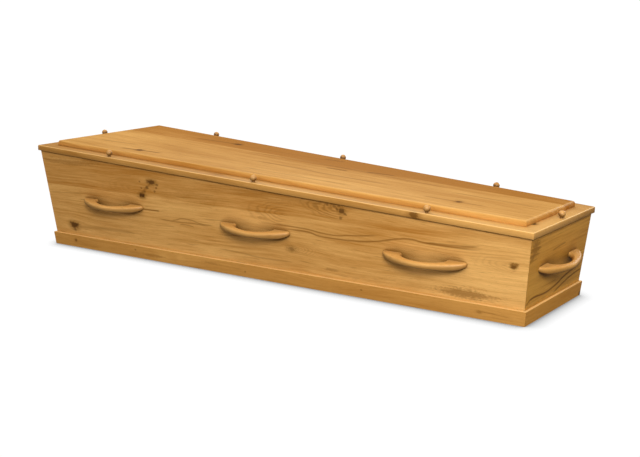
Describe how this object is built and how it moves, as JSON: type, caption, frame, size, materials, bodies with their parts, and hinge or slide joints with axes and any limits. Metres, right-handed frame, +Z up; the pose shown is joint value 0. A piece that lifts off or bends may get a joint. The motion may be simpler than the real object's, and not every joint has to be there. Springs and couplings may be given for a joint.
{
  "type": "wooden coffin",
  "caption": "Closed oak coffin tapering to the foot in width and height, with leaning walls, plinth, raised-panel lid, turned lid knobs and bow handles.",
  "frame": {"origin": "on the floor under the middle of the coffin's overall length, on its centre line", "axes": "+X along the length from the head end to the foot end, +Y to the left of someone lying in it, +Z up"},
  "size_m": [2.0992, 0.7048, 0.4161],
  "materials": {
    "lid_oak": "rustic oak, clear satin lacquer, grain along the length",
    "wall_oak": "rustic knotty oak, clear satin lacquer, grain along each board",
    "plinth_oak": "oak strip, clear satin lacquer",
    "knob_oak": "turned oak, clear satin lacquer",
    "handle_oak": "rounded oak bow, clear satin lacquer"
  },
  "bodies": {
    "root": {"bottom_board": "wall_oak", "foot_board": "wall_oak", "handle_foot": "handle_oak", "handle_head": "handle_oak", "handle_left_1": "handle_oak", "handle_left_2": "handle_oak", "handle_left_3": "handle_oak", "handle_right_1": "handle_oak", "handle_right_2": "handle_oak", "handle_right_3": "handle_oak", "head_board": "wall_oak", "lid_board": "lid_oak", "lid_knob_foot": "knob_oak", "lid_knob_head": "knob_oak", "lid_knob_left_1": "knob_oak", "lid_knob_left_2": "knob_oak", "lid_knob_left_3": "knob_oak", "lid_knob_right_1": "knob_oak", "lid_knob_right_2": "knob_oak", "lid_knob_right_3": "knob_oak", "lid_panel": "lid_oak", "plinth_foot": "plinth_oak", "plinth_head": "plinth_oak", "plinth_left": "plinth_oak", "plinth_right": "plinth_oak", "side_board_left": "wall_oak", "side_board_right": "wall_oak"}
  },
  "joints": []
}
